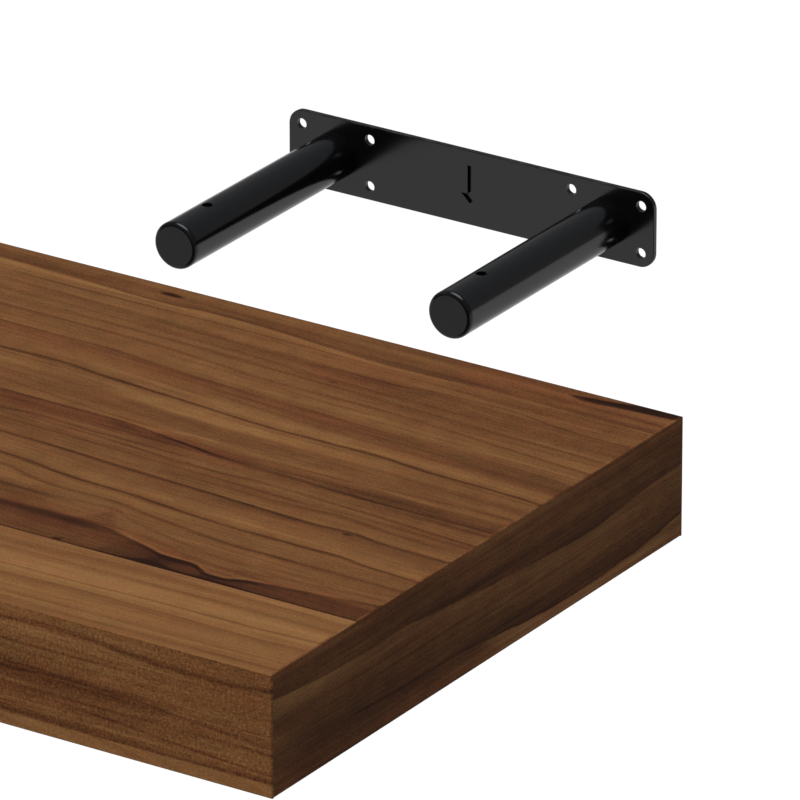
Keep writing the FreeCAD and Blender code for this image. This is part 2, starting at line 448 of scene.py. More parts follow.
def rolled_tube(x, back, front):
    """Drilled sheet, rolled into a tube along Y with its seam on the outer side."""
    bm = bmesh.new()
    half_round = math.pi * post_radius
    middle = (back + front) / 2
    place = Matrix.Translation((0, middle, 0)) @ Matrix.Diagonal((half_round, (back - front) / 2, 1, 1))
    bmesh.ops.create_grid(bm, x_segments=1, y_segments=1, size=1, matrix=place)
    bmesh.ops.delete(bm, geom=bm.faces[:], context="FACES_ONLY")
    for side in (-1, 1):
        round_loop(bm, side * half_round / 2, cross_hole_y, cross_hole_radius, 48)
    filled(bm, bm.edges[:])
    for strip in range(1, post_strips):
        cut = Vector((half_round * (2 * strip / post_strips - 1), 0, 0))
        bmesh.ops.bisect_plane(bm, geom=bm.verts[:] + bm.edges[:] + bm.faces[:], plane_co=cut,
                               plane_no=Vector((1, 0, 0)))
    for vert in bm.verts:
        angle = vert.co.x / post_radius
        vert.co = Vector((x + post_radius * math.cos(angle), vert.co.y, post_radius * math.sin(angle)))
    bmesh.ops.remove_doubles(bm, verts=bm.verts[:], dist=0.001 * mm)
    bmesh.ops.recalc_face_normals(bm, faces=bm.faces[:])
    return bm


for name, side in (("left", -1), ("right", 1)):
    low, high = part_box(name + "_post")
    tube = rolled_tube(side * post_x, high.y, low.y)
    middle = Vector((side * post_x, 0, 0))
    if sum(face.normal.dot(face.calc_center_median() - middle) for face in tube.faces) < 0:
        bmesh.ops.reverse_faces(tube, faces=tube.faces[:])
    bmesh.ops.solidify(tube, geom=tube.faces[:], thickness=post_wall)
    # The drill leaves straight walls: the hole's inner rim is as wide as the outer one.
    bore = post_radius - post_wall
    for vert in tube.verts:
        across, up = vert.co.x - side * post_x, vert.co.z
        inside = math.hypot(across, up) < bore + post_wall / 2
        if inside and math.hypot(across, vert.co.y - cross_hole_y) < cross_hole_radius:
            straight = across * post_radius / bore
            vert.co.x = side * post_x + straight
            vert.co.z = math.copysign(math.sqrt(bore ** 2 - straight ** 2), up)
    bmesh.ops.recalc_face_normals(tube, faces=tube.faces[:])
    placed(tube, name + "_drilled_post", coated_steel, "bracket", "black_steel", name + "_post")


# End caps
# Moulded black plastic plugs that close the posts. The flange has a rounded rim and sits on the tube's end,
# and a hollow shank holds it in the bore.

cap_rim_round = 1.5 * mm
cap_shank_round = 0.3 * mm
cap_shank_length = 9 * mm
cap_shank_radius = 7.35 * mm
cap_hollow_radius = 5.75 * mm
cap_black = (0.004, 0.004, 0.004, 1)


def cap_plastic():
    """Black moulded plastic, a little duller than the coated steel."""
    finish = Finish(bpy.data.materials.new("moulded_plastic"))
    point = finish.place()
    spark = noise(finish, point, 2600.0, 2.0)
    flow = noise(finish, point, 160.0, 2.0)
    x, y, z = in_millimetres(finish)
    out = x.unsigned() - post_x / mm
    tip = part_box("left_end_cap")[0].y / mm
    rim = (out.squared() + z.squared()).rise(54, 66) * y.rise(tip + 1.4, tip + 0.6)
    rubbed = rim * noise(finish, point, 420.0, 3.0).rise(-0.05, 0.2)
    grained = finish.relief(0.04, 0.01 * mm, spark)
    return finish.surface({
        "Base Color": finish.mix(rubbed * 0.4, cap_black, rubbed_black),
        "Roughness": 0.14 + flow * 0.05 + rubbed * 0.08,
        "IOR": 1.345,
        "Normal": grained,
    })


moulded_black = cap_plastic()
for name, side in (("left", -1), ("right", 1)):
    low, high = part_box(name + "_end_cap")
    x = side * post_x
    tube_end = high.y - cap_shank_length
    cap = bmesh.new()
    outline = [
        (0, low.y), (post_radius, low.y), (post_radius, tube_end), (cap_shank_radius, tube_end),
        (cap_shank_radius, high.y), (cap_hollow_radius, high.y), (cap_hollow_radius, tube_end), (0, tube_end),
    ]
    verts = [cap.verts.new((x + radius, y, 0)) for radius, y in outline]
    edges = [cap.edges.new(pair) for pair in zip(verts, verts[1:])]
    bmesh.ops.spin(cap, geom=verts + edges, cent=Vector((x, 0, 0)), axis=Vector((0, 1, 0)),
                   angle=2 * math.pi, steps=96, use_merge=True)
    bmesh.ops.remove_doubles(cap, verts=cap.verts[:], dist=0.001 * mm)
    bmesh.ops.recalc_face_normals(cap, faces=cap.faces[:])
    softened(cap, sharp_edges(cap, lambda at: at.y < low.y + 0.1 * mm), cap_rim_round, 8)
    softened(cap, sharp_edges(cap, lambda at: at.y > high.y - 0.1 * mm), cap_shank_round, 2)
    placed(cap, name + "_moulded_cap", moulded_black, "bracket", "cap_plastic", name + "_end_cap")


# Top skin
# Thin fibreboard under walnut foil. The foil's figure runs along the shelf: two boards of it meet in a straight
# joint a fifth of the depth from the front, and a dark flame of heartwood lies behind that joint.

brown_foil = (
    (0.00, (32, 17, 9)), (0.20, (59, 35, 19)), (0.35, (77, 49, 27)), (0.50, (97, 64, 36)),
    (0.65, (117, 81, 47)), (0.80, (135, 98, 58)), (1.00, (158, 118, 74)),
)
red_foil = (
    (0.00, (36, 18, 11)), (0.20, (64, 36, 21)), (0.35, (84, 48, 28)), (0.50, (105, 62, 36)),
    (0.65, (123, 78, 46)), (0.80, (141, 95, 57)), (1.00, (163, 115, 72)),
)
foil_gloss = 0.04
line_softness = 1.3
joint_depth = 200.0
line_fade = 24.0
half_length = 200.0
board_depth = 250.0
board_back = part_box("back_edge_band")[1].y / mm
board_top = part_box("top_panel")[1].z / mm

# Three courses that two growth lines of the top each follow.
back_curve = (
    (-200, 9), (-80, 10.5), (-40, 12), (-5, 14), (20, 12.5), (40, 13), (60, 15), (80, 17), (100, 17.5), (130, 16.8),
    (160, 17.5), (200, 18),
)
middle_curve = (
    (-200, 55), (-40, 57), (-5, 57), (20, 59), (40, 61.5), (60, 63), (100, 65), (150, 66.5), (180, 68), (200, 70),
)
fore_curve = (
    (-200, 130), (15, 135.5), (45, 137), (60, 138), (80, 139), (100, 140), (120, 141.5), (145, 142.5), (158, 141.8),
    (170, 143.4), (200, 145),
)

# Growth lines of the top: points (along, in from the back edge), reach behind, reach in front, darkness, and,
# for a line that doesn't run right through, its stretch along the board. All in millimetres but the darkness.
top_lines = (
    (back_curve, 4.5, 0.6, 0.24),
    (back_curve, 0.2, 6, -0.06, -260, 170),
    (((-200, 17), (40, 17), (90, 18.5), (200, 20)), 2, 4, -0.07, 50, 125),
    (((-200, 20), (160, 21), (200, 22)), 4, 6, 0.07, 130, 260),
    (((-200, 8), (160, 8), (200, 9)), 8, 6, 0.08, 125, 260),
    (((-200, 38), (120, 39), (200, 42)), 7, 8, -0.08, 95, 260),
    (((-200, 57), (200, 60)), 6, 6, -0.06, 95, 260),
    (((-200, 74), (100, 79), (200, 84)), 8, 12, -0.1, 42, 260),
    (((-200, 112), (60, 114), (200, 117)), 7, 9, 0.06),
    (((-200, 133), (40, 134), (200, 138)), 7, 8, -0.08, -260, 85),
    (((-200, 176), (140, 178), (200, 180)), 6, 6, -0.06, 90, 260),
    (((-200, 170), (60, 174), (200, 178)), 8, 10, 0.09, -260, 75),
    (((-200, 4), (40, 8), (100, 11), (200, 12)), 3, 6, 0.12),
    (((-200, 28), (0, 30), (60, 32), (200, 36)), 8, 8, -0.08, -260, 100),
    (((-200, 50), (60, 54), (130, 58), (200, 62)), 8, 8, -0.09, 20, 130),
    (((-200, 64), (0, 68), (200, 78)), 6, 6, 0.07, -260, 10),
    (((-200, 78), (0, 82), (60, 87), (100, 91), (150, 94), (200, 96)), 12, 11, -0.12, 12, 160),
    (((-200, 108), (60, 110), (120, 112), (200, 112)), 7, 10, 0.15, 50, 260),
    (((-200, 116), (20, 118), (60, 121), (200, 124)), 4, 6, 0.12, -260, 30),
    (((-200, 146), (50, 150), (200, 158)), 7, 7, 0.07, -260, 60),
    (((-200, 150), (150, 154), (200, 158)), 9, 8, -0.07, 105, 260),
    (((-200, 172), (60, 173), (100, 176), (200, 178)), 7, 9, 0.13, -260, 72),
    (((-200, 17), (-30, 19), (20, 19), (80, 20), (200, 24)), 0.7, 0.8, 0.18, -70, 95),
    (((-200, 24), (0, 28), (50, 30), (90, 31), (140, 29), (200, 33)), 3, 5, 0.07, -60, 140),
    (((-200, 30), (-30, 33), (30, 35), (80, 37.5), (200, 42)), 0.8, 2.2, 0.10, -160, 150),
    (((-200, 36), (-30, 38.5), (30, 40.5), (80, 43), (200, 48)), 1.2, 1.6, 0.09, -160, 200),
    (((-200, 33), (66, 32.5), (80, 30), (100, 31), (125, 28), (145, 28), (170, 31), (200, 33)),
     0.6, 0.8, 0.15, 60, 260),
    (((-200, 36), (100, 38), (200, 44)), 5, 10, 0.08, 95, 260),
    (((-200, 43), (-50, 45), (20, 46), (40, 48), (70, 51), (100, 51), (140, 53), (170, 56), (200, 59)),
     0.8, 1.8, 0.17),
    (((-200, 48), (-40, 51), (20, 53), (60, 56.5), (100, 58.5), (150, 60), (200, 63.5)), 3.5, 4, -0.07),
    (middle_curve, 0.6, 12, 0.17),
    (middle_curve, 0.6, 1.6, 0.08, -100, 70),
    (((-200, 70), (100, 71), (140, 72), (170, 74), (200, 75)), 0.8, 2, 0.10, 80, 260),
    (((-200, 71), (-20, 72), (60, 76.5), (130, 79), (200, 83)), 3.5, 4, -0.06),
    (((-200, 74), (-100, 77), (-28, 76), (-8, 75.6), (20, 78.5), (60, 81.7), (80, 83.3), (100, 84), (130, 84),
      (150, 86), (185, 87.5), (200, 89)), 0.8, 1.3, 0.36),
    (((-200, 84), (20, 88), (40, 92), (60, 95), (110, 97), (200, 99)), 4, 3, 0.12, -20, 150),
    (((-200, 97), (-20, 98), (20, 102), (50, 104.4), (200, 108)), 0.6, 0.9, 0.14, -80, 70),
    (((-200, 103), (55, 106), (70, 104), (82, 103.6), (200, 103)), 1.2, 1.2, -0.15, 46, 100),
    (((-200, 104), (-6, 106), (45, 107), (60, 109), (80, 112), (200, 117)), 0.6, 13, 0.20, -260, 84),
    (((-200, 104), (-6, 106), (45, 107), (60, 109), (80, 112), (92, 113.3), (200, 117)), 0.6, 1.1, 0.12, -260, 110),
    (((-200, 106), (34, 107), (48, 110), (62, 114), (200, 117)), 2.2, 3, 0.17, 26, 66),
    (((-200, 107), (66, 110.2), (76, 111.6), (84, 113), (94, 113.6), (200, 117)), 0.9, 1.3, 0.36, 58, 102),
    (((-200, 113), (90, 113), (130, 113.5), (200, 113.5)), 6, 6, 0.15, 78, 260),
    (((-200, 109), (110, 108), (130, 107), (150, 106), (175, 104.6), (200, 104.4)), 0.7, 1.3, 0.15, 100, 260),
    (((-200, 109), (150, 109), (175, 108.3), (200, 108)), 1, 1, -0.12, 145, 260),
    (((-200, 115), (110, 115), (130, 116), (160, 116.8), (200, 117)), 0.8, 1.0, 0.22, 100, 260),
    (((-200, 119), (150, 119), (175, 119.3), (200, 120)), 0.8, 2.4, 0.16, 140, 260),
    (((-200, 118), (2, 119), (15, 117.5), (35, 118.5), (80, 120), (200, 121)), 0.6, 1.3, 0.18, -260, 90),
    (((-200, 120), (10, 122), (100, 124), (200, 126)), 3, 8, 0.07, -260, 120),
    (((-200, 116), (40, 121), (60, 122.5), (80, 124.5), (95, 124.5), (110, 123.5), (125, 124), (150, 125.5),
      (170, 126.5), (185, 128), (200, 129)), 0.6, 1.5, 0.18, 10, 260),
    (((-200, 124), (20, 126), (60, 127.5), (100, 129), (118, 129.5), (150, 130), (200, 131.5)), 0.7, 1.4, 0.10),
    (((-200, 131), (85, 131), (100, 130), (112, 129.2), (135, 131), (200, 133)), 1.4, 1.6, 0.13, 88, 140),
    (((-200, 133), (100, 133.5), (130, 134), (150, 132.6), (170, 135), (200, 138)), 0.8, 1.8, 0.12, 60, 260),
    (fore_curve, 0.7, 1.5, 0.28),
    (fore_curve, 0.4, 5, 0.11),
    (((-200, 143), (24, 150), (40, 151.7), (50, 153.5), (60, 154.5), (80, 155.5), (95, 157), (110, 158.5), (130, 160),
      (165, 160), (180, 162), (200, 163.5)), 0.7, 1.6, 0.30),
    (((-200, 139), (24, 146), (50, 149.5), (95, 153), (130, 156), (200, 159.5)), 3.5, 3.5, -0.07),
    (((-200, 148), (32, 158), (45, 161.6), (56, 163), (80, 163.5), (90, 165), (100, 167), (115, 169), (130, 171),
      (150, 171.5), (200, 172.6)), 0.9, 1.7, 0.20),
    (((-200, 168), (40, 170.5), (60, 170), (73, 169), (82, 168), (91, 172), (104, 176), (120, 179.5), (140, 181.5),
      (160, 180), (200, 177.5)), 0.8, 1.8, 0.10),
    (((-200, 174), (100, 181), (120, 185), (140, 188), (160, 185), (200, 181)), 0.8, 1.8, 0.08, 90, 260),
    (((-200, 183.5), (45, 183.6), (80, 184), (90, 186), (200, 186)), 3, 3, 0.20, -260, 94),
)
stave_lines = (
    (((-200, 203), (200, 203)), 4, 5, 0.07, -260, 150),
    (((-200, 226), (80, 222), (200, 219)), 8, 7, -0.07),
    (((-200, 210), (65, 207), (100, 205), (120, 203.5), (200, 204.5)), 0.6, 4, 0.13),
    (((-200, 218), (110, 212), (150, 211.5), (200, 211.5)), 0.8, 2.2, 0.09),
    (((-200, 222), (80, 218.5), (200, 217)), 5, 4, -0.07),
    (((-200, 229), (75, 223.5), (95, 223.5), (140, 222), (170, 222), (200, 220.5)), 0.5, 1.2, 0.18),
    (((-200, 237), (82, 230), (115, 228.5), (175, 229), (200, 227)), 0.5, 3.5, 0.15),
    (((-200, 248), (90, 242), (150, 241), (200, 240)), 0.9, 1.4, 0.12),
    (((-200, 252), (90, 246), (200, 245.5)), 1, 2.5, 0.10),
)
# The heartwood flame behind the joint: its edge, how dark the line under that edge is, how dark it is inside,
# and the top of the dark foot along the joint.
flame_edge = (
    (-200, 182), (40, 182), (66, 181.6), (78, 181.4), (86, 182), (93, 183.4), (98, 184.8),
    (105, 187), (112, 189), (118, 190.8), (130, 191.1), (134, 193), (138, 195.1), (144, 195.2), (150, 193.3),
    (158, 191.6), (170, 190), (185, 188), (200, 185.4),
)
flame_rim = ((-200, 0), (80, 0), (92, 0.06), (104, 0.14), (114, 0.28), (124, 0.34), (136, 0.3), (150, 0.3),
             (162, 0.14), (200, 0.06))
flame_inside = (
    (-200, 0.17), (40, 0.18), (72, 0.2), (88, 0.18), (95, 0.19), (100, 0.27), (108, 0.31), (114, 0.38),
    (118, 0.47), (122, 0.47), (126, 0.32), (134, 0.3), (138, 0.36), (143, 0.38), (149, 0.37), (155, 0.3), (170, 0.22),
    (186, 0.19), (200, 0.21),
)
flame_foot = ((-200, 199.4), (60, 199.4), (98, 199.3), (108, 198.4), (113, 197), (118, 195.8), (123, 197.6),
              (132, 198.4), (142, 198.3), (152, 198.4), (160, 199.4), (200, 199.6))
# Small knots: place, size along and across, darkness.
top_knots = (
    (-4, 6.6, 6, 1.8, 0.5), (85, 40, 2, 1.4, 0.16), (159, 143.8, 2.4, 1.3, 0.3), (81, 198.8, 2.6, 1.4, 0.25),
)
# The soft shadow of a branch that rises from the flame.
flame_spike = ((-200, 186), (60, 186), (70, 183), (77, 178.5), (81, 173.5), (84, 169.6), (87, 173), (91, 178),
               (97, 183), (106, 187.5), (200, 194))
# The dark wedge in the back right corner: its upper and its lower edge.
wedge_upper = ((-200, 20), (150, 9), (157, 5.8), (163, 4.6), (171, 3.3), (180, 1.6), (188, 0), (200, 0))
wedge_lower = ((-200, 0), (150, 2.4), (157, 5.6), (162, 7.3), (168, 7.7), (178, 6.6), (188, 5.6), (200, 4.3))

# How far the plain grain of the wide board drifts towards the front on its way to the right.
grain_drift = ((-200, 0), (-80, 6), (20, 10.6), (80, 15), (140, 17), (200, 20))

# Where the top is redder, in the same way as its growth lines.
red_zones = (
    (((-200, 108), (0, 110), (50, 109), (90, 113), (200, 115)), 5, 8, 0.7, -60, 110),
    (((-200, 57), (-5, 58), (60, 64), (100, 67), (200, 70)), 3, 10, 0.45, -60, 140),
    (((-200, 14), (0, 17), (60, 19), (200, 22)), 2, 6, 0.25, 20, 200),
    (((-200, 188), (100, 188), (115, 192), (140, 197), (160, 195), (200, 192)), 9, 8, 0.5, 30, 210),
    (((-200, 6), (120, 6), (200, 8)), 8, 12, 0.5, 100, 260),
)
red_patch = (90, 34, 26, 16, -0.5)


def foil_colour(rgb):
    """Colour from its value on screen, 0 to 255."""
    linear = [(c / 255 / 12.92) if c < 11 else ((c / 255 + 0.055) / 1.055) ** 2.4 for c in rgb]
    return (*linear, 1)


def share_along(x):
    """Place along the board, from 0 at its left end to 1 at its right end."""
    return (x + half_length) / (2 * half_length)


def drawn(finish, place, points, reach=board_depth):
    """What the curve through the given points gives at a share of the way along the board."""
    curve = [(share_along(x), y / reach) for x, y in points]
    return finish.node("ShaderNodeFloatCurve", {"points": curve}, {"Value": place}) * reach


def growth(finish, along, across, lines):
    """Darkness of a set of growth lines."""
    place = share_along(along)
    total = None
    for points, behind, before, darkness, *span in lines:
        start, end = span or (-half_length, half_length)
        away = across - drawn(finish, place, points)
        mark = away.rise(-behind * line_softness, 0) * away.rise(before * line_softness, 0) * darkness
        if start > -half_length:
            mark = mark * along.rise(start, start + line_fade)
        if end < half_length:
            mark = mark * along.rise(end, end - line_fade)
        total = mark if total is None else total + mark
    return total


def spot(finish, along, across, knot):
    """Darkness of an oval mark."""
    x, y, length, width, darkness = knot
    return (((along - x) / length).squared() + ((across - y) / width).squared()).rise(1, 0) * darkness


def flame(finish, along, across):
    """Darkness of the flame of heartwood."""
    place = share_along(along)
    below = across - drawn(finish, place, flame_edge)
    slanted = share_along(along + (across - 195) * 0.5)
    inside = below.rise(-0.9, 1.4) * drawn(finish, slanted, flame_inside, 1)
    rim = below.rise(-0.5, 0.3) * below.rise(2.6, 0.5) * drawn(finish, place, flame_rim, 1)
    glint = below.rise(-2.4, -1.2) * below.rise(-0.2, -1.0) * place.rise(0.7, 0.74) * place.rise(0.97, 0.86) * 0.1
    foot = (across - drawn(finish, place, flame_foot)).rise(-0.5, 0.8) * 0.3
    spike = (across - drawn(finish, place, flame_spike)).rise(-1, 4) * across.rise(190, 182) * 0.11
    corner = (across - 205 + along * 0.03).rise(0, 2.5) * along.rise(168, 182) * 0.1
    return inside + rim + foot * (1 - inside) + spike - glint - corner


def stretched(finish, point, length, width, seed, detail=1.0, roughness=0.5):
    """Noise drawn out along the grain, with patches of a given length and width in millimetres."""
    scaled = finish.node("ShaderNodeMapping", sockets={
        "Vector": point, "Scale": (1 / length, 1 / width, 1), "Location": (seed, 3 * seed, 0)})
    return noise(finish, scaled, 1.0, detail, roughness)


def fibres(finish, along, across, seed, grit=0.32):
    """Tone of plain walnut about 0: broad bands, narrower streaks, fibres, clouds, short dark pores and grit."""
    point = finish.point(along, across, seed)
    bands = stretched(finish, point, 300, 16, seed, 1.5)
    streaks = stretched(finish, point, 220, 3.0, seed, 3.0, 0.6)
    threads = stretched(finish, point, 55, 1.0, seed, 2.0, 0.65)
    pores = stretched(finish, point, 4, 0.5, seed)
    specks = stretched(finish, point, 1.0, 0.75, seed)
    clouds = stretched(finish, point, 10, 6, seed)
    return (bands * 0.5 + streaks * 0.28 + threads * 0.3 + specks * grit + clouds * 0.16
            - pores.rise(0.08, 0.22) * 0.08)


def frayed(finish, along, across, seed, reach):
    """The way across the grain with ragged sides, as the fibres give them, and the strength of a mark there."""
    point = finish.point(along, across, seed)
    rough = stretched(finish, point, 18, 0.8, seed, 2.0, 0.6) * reach + stretched(finish, point, 60, 4, seed) * reach
    return across + rough, 0.9 + stretched(finish, point, 45, 2.5, seed, 2.0) * 1.3


def redness(finish, along, across, seed):
    """Share of red in plain walnut."""
    point = finish.point(along, across, seed + 9)
    return 0.33 + stretched(finish, point, 40, 8, seed, 2.0) * 1.1 + stretched(finish, point, 8, 5, seed)


def wavy(finish, along, across, seed, reach):
    """The way across the grain, swaying slowly along the board."""
    point = finish.point(along / 90, across / 40, seed)
    fine = finish.point(along / 11, across / 5, seed + 5)
    return across + noise(finish, point, 1.0, 1.0) * reach + noise(finish, fine, 1.0, 1.0) * (reach * 0.16)


def wedge(finish, along, across):
    """Darkness of the dark wedge in the back right corner."""
    place = share_along(along)
    below = (across - drawn(finish, place, wedge_upper)).rise(-0.8, 0.8)
    above = (drawn(finish, place, wedge_lower) - across).rise(-0.6, 1.5)
    return below * above * 0.55


def top_grounds(finish, x, depth):
    """Plain tones of the two boards of the top: the wide one, and the stave in front of it."""
    drift = drawn(finish, share_along(x), grain_drift, 20)
    bent = depth - drift * depth.rise(-40, 90)
    wide = 0.6 + fibres(finish, x, wavy(finish, x, bent, 3.0, 5.0), 3.0)
    stave = 0.73 + fibres(finish, x, wavy(finish, x, depth + x * 0.02, 14.0, 3.0), 14.0, 0.4) * 0.75
    return wide, stave


def joined(wide, stave, depth):
    """The two boards, with a fine dark joint between them."""
    before = depth.rise(joint_depth - 0.15, joint_depth + 0.15)
    seam = depth.rise(joint_depth - 1.4, joint_depth - 0.1) * depth.rise(joint_depth + 0.4, joint_depth + 0.1)
    return wide * (1 - before) + stave * before - seam * 0.18


def top_tone(finish):
    """Tone of the foil on top: a wide board behind the joint and a lighter, plainer one before it."""
    x, y, z = in_millimetres(finish)
    depth = board_back - y
    wide, stave = top_grounds(finish, x, depth)
    marked, strength = frayed(finish, x, wavy(finish, x, depth, 8.0, 0.6), 8.0, 1.2)
    wide = wide - growth(finish, x, marked, top_lines) * strength * 0.92
    wide = wide - flame(finish, x, marked) * (strength * 0.4 + 0.6)
    for knot in top_knots:
        wide = wide - spot(finish, x, marked, knot)
    back_strip = marked.rise(7, 3.5) * x.rise(60, 110) * 0.16
    wide = wide - wedge(finish, x, marked) - back_strip
    stave = stave - growth(finish, x, marked, stave_lines) * strength
    return joined(wide, stave, depth)


def top_redness(finish):
    """Share of red in the foil on top: in its zones and in the stave, and less in one patch."""
    x, y, z = in_millimetres(finish)
    depth = board_back - y
    share = redness(finish, x, depth, 5.0) + growth(finish, x, wavy(finish, x, depth, 6.0, 8.0), red_zones)
    return share - spot(finish, x, depth, red_patch) + depth.rise(joint_depth - 0.2, joint_depth + 0.2) * 0.05


def stained(finish, tone, stops):
    """Colour from a tone, through stops whose colours are values on screen."""
    return finish.node("ShaderNodeValToRGB", {"stops": [(at, foil_colour(rgb)) for at, rgb in stops]}, {0: tone})


def foil(name, tone_of, redness_of, grain):
    """Walnut foil whose tone and redness the given functions draw. Its pores are embossed along the grain."""
    finish = Finish(bpy.data.materials.new(name))
    tone = tone_of(finish)
    brown, red = stained(finish, tone, brown_foil), stained(finish, tone, red_foil)
    along = Vector(grain)
    squeezed = (Vector((1, 1, 1)) - along) * (1 / (0.5 * mm)) + along * (1 / (5 * mm))
    point = finish.place()
    pores = noise(finish, finish.node("ShaderNodeMapping", sockets={"Vector": point, "Scale": squeezed}), 1.0)
    relief = finish.relief(0.25, 0.05 * mm, pores)
    return finish.surface({
        "Base Color": finish.mix(redness_of(finish), brown, red),
        "Roughness": 0.62 + pores * 0.15,
        "Specular IOR Level": foil_gloss,
        "Normal": relief,
    })


def covered(node, material):
    """Gives a CAD node its material."""
    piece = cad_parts[node]
    piece.data.materials.clear()
    piece.data.materials.append(material)


covered("top_panel", foil("walnut_foil_top", top_tone, top_redness, (1, 0, 0)))


# Bottom skin
# The same foil on fibreboard, plainer, glued on from below like the top.
# A recess under each post takes the head of its locking screw.

bottom_lines = (
    (((-200, 40), (-60, 44), (80, 37), (200, 42)), 1, 9, 0.16),
    (((-200, 70), (-90, 66), (60, 74), (200, 69)), 0.7, 1.1, 0.28),
    (((-200, 104), (-30, 98), (90, 106), (200, 101)), 5, 0.8, 0.18),
    (((-200, 141), (0, 149), (200, 143)), 0.7, 1.3, 0.26),
    (((-200, 188), (-70, 181), (110, 190), (200, 186)), 1.2, 12, 0.2),
    (((-200, 221), (40, 228), (200, 224)), 0.8, 1.4, 0.2),
)


def bottom_tone(finish):
    """Tone of the foil on the underside."""
    x, y, z = in_millimetres(finish)
    depth = wavy(finish, x, board_back - y, 31.0, 6.0)
    return 0.62 + fibres(finish, x, depth, 31.0) - growth(finish, x, depth, bottom_lines)


def plain_redness(finish):
    """Redness of a sheet or strip whose grain runs along X."""
    x, y, z = in_millimetres(finish)
    return redness(finish, x, y + z, 33.0)


covered("bottom_panel", foil("walnut_foil_bottom", bottom_tone, plain_redness, (1, 0, 0)))


# Edge strips
# One millimetre strips of the same foil, glued round the frame after the skins, with their arrises rounded.
# The grain runs along each edge. On their upper sides the figure of the top carries on.

front_lines = (
    (((-200, 7), (94, 5), (105, 4.5), (130, 4.8), (142, 6), (160, 7), (180, 7.2), (200, 6)), 1.4, 1.1, 0.24),
    (((-200, 9), (94, 7.2), (130, 6.8), (145, 8.2), (200, 8)), 0.5, 0.9, -0.08, -260, 150),
    (((-200, 12), (94, 10), (110, 9.8), (135, 10.8), (200, 12)), 0.5, 0.9, 0.10, -260, 155),
    (((-200, 13), (94, 12.6), (140, 12.8), (200, 13.5)), 0.5, 0.6, 0.10, -260, 175),
    (((-200, 15), (94, 14.4), (130, 14.4), (200, 15)), 0.6, 0.6, -0.08, -260, 130),
    (((-200, 23), (94, 23), (145, 24), (200, 25)), 5, 5, 0.17, -260, 165),
    (((-200, 22), (94, 22.5), (120, 21.4), (145, 21.8), (165, 23.5), (200, 26)), 0.5, 0.9, 0.15),
    (((-200, 28), (94, 28), (130, 28.5), (160, 27.5), (200, 28.5)), 0.7, 1.1, 0.15),
    (((-200, 31), (120, 31), (140, 32), (160, 33.5), (200, 35.5)), 0.5, 0.7, 0.2, 112, 200),
    (((-200, 33), (94, 33.5), (120, 34), (140, 35.5), (165, 35), (200, 37)), 0.5, 0.5, -0.08),
    (((-200, 38), (94, 38), (130, 38.4), (200, 38.4)), 3, 0.5, 0.16),
)
end_upper_curve = (
    (-125, 9), (-105, 11), (-85, 12.5), (-65, 12.8), (-47, 12.3), (-40, 12.9), (-30, 14), (-15, 15.5), (5, 17),
    (35, 19), (55, 20.3), (65, 20.5), (85, 19), (105, 17.8), (125, 17),
)
end_lower_curve = (
    (-125, 31), (-85, 31.5), (-65, 33), (-45, 34), (-15, 34.6), (5, 36.2), (25, 38), (45, 39.4), (65, 39.7), (85, 39),
    (105, 38), (123, 35),
)
end_lines = (
    (end_upper_curve, 10, 0.4, 0.19),
    (end_upper_curve, 0.1, 9, -0.18),
    (end_lower_curve, 0.8, 0.7, 0.2, -90, 260),
    (end_lower_curve, 9, 0.2, 0.17, -20, 260),
    (end_lower_curve, 0.1, 7, -0.26, -10, 260),
)
back_lines = (
    (((-200, 11), (-40, 9), (120, 12), (200, 10)), 1, 5, 0.16),
    (((-200, 25), (30, 28), (200, 24)), 0.7, 1, 0.25),
    (((-200, 35), (-60, 33), (90, 36), (200, 34)), 3, 0.7, 0.14),
)


# How far in from an arris the foil is painted lighter: rubbed wear, and partly a painted highlight along the arrises.
arris_wear_and_highlight = 0.9
board_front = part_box("front_edge_band")[0].y / mm
board_middle = (board_front + board_back) / 2
board_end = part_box("right_edge_band")[1].x / mm
board_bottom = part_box("bottom_panel")[0].z / mm

# Where the growth lines of the top end on the end strips: in from the back edge, darkness.
end_of_lines = (
    (0, 0.5), (3.6, 0.5), (5.2, 0.05), (14, 0.12), (18, 0.2), (19, 0), (32, 0), (33.2, 0.13), (35, 0.03), (57.5, 0),
    (59, 0.14), (61, 0), (69, 0), (70.3, 0.2), (80, 0.1), (87.5, 0), (89, 0.34), (90.4, 0), (104, 0), (106, 0.16),
    (112, 0.1), (117, 0.26), (120, 0.2), (124, 0), (128.4, 0), (129.3, 0.15), (131, 0), (143.5, 0), (144.6, 0.34),
    (146.5, 0), (162.6, 0), (163.6, 0.3), (165, 0), (171, 0.05), (172.5, 0.2), (175, 0), (184, 0), (186, 0.3),
    (196, 0.05), (200, 0.05), (204.5, 0.12), (207, 0.02), (221, 0.12), (227, 0.12), (240, 0.12), (245.5, 0.1),
    (250, 0.05),
)


def band_tone(finish, along, down, seed, lines, middle, liveliness=1.3, grit=0.3):
    """Tone of an edge strip."""
    swaying = wavy(finish, along, down, seed, 2.4)
    marked, strength = frayed(finish, along, wavy(finish, along, down, seed + 1, 0.8), seed, 1.2)
    plain = middle + fibres(finish, along, swaying, seed, grit) * liveliness
    return plain - growth(finish, along, marked, lines) * strength


def worn_and_highlit(finish, tone, *distances):
    """Tone lighter here and there near the arrises that lie at the given distances in millimetres: rubbed wear, and
    partly a painted highlight where the arrises catch the light.
    """
    rubbed = noise(finish, finish.place(), 90.0, 3.0).rise(-0.1, 0.35)
    for distance in distances:
        # Rubbed wear and a painted highlight along each arris.
        tone = tone + distance.rise(arris_wear_and_highlight, 0.1) * rubbed * 0.1
    return tone


def lifted(finish, tone, upper):
    """The strip's own tone on its side, and another one on its upper side."""
    normal = finish.node("ShaderNodeTexCoord", output="Normal")
    up = finish.node("ShaderNodeSeparateXYZ", sockets={0: normal}, output=2).rise(0.55, 0.75)
    return tone * (1 - up) + upper * up


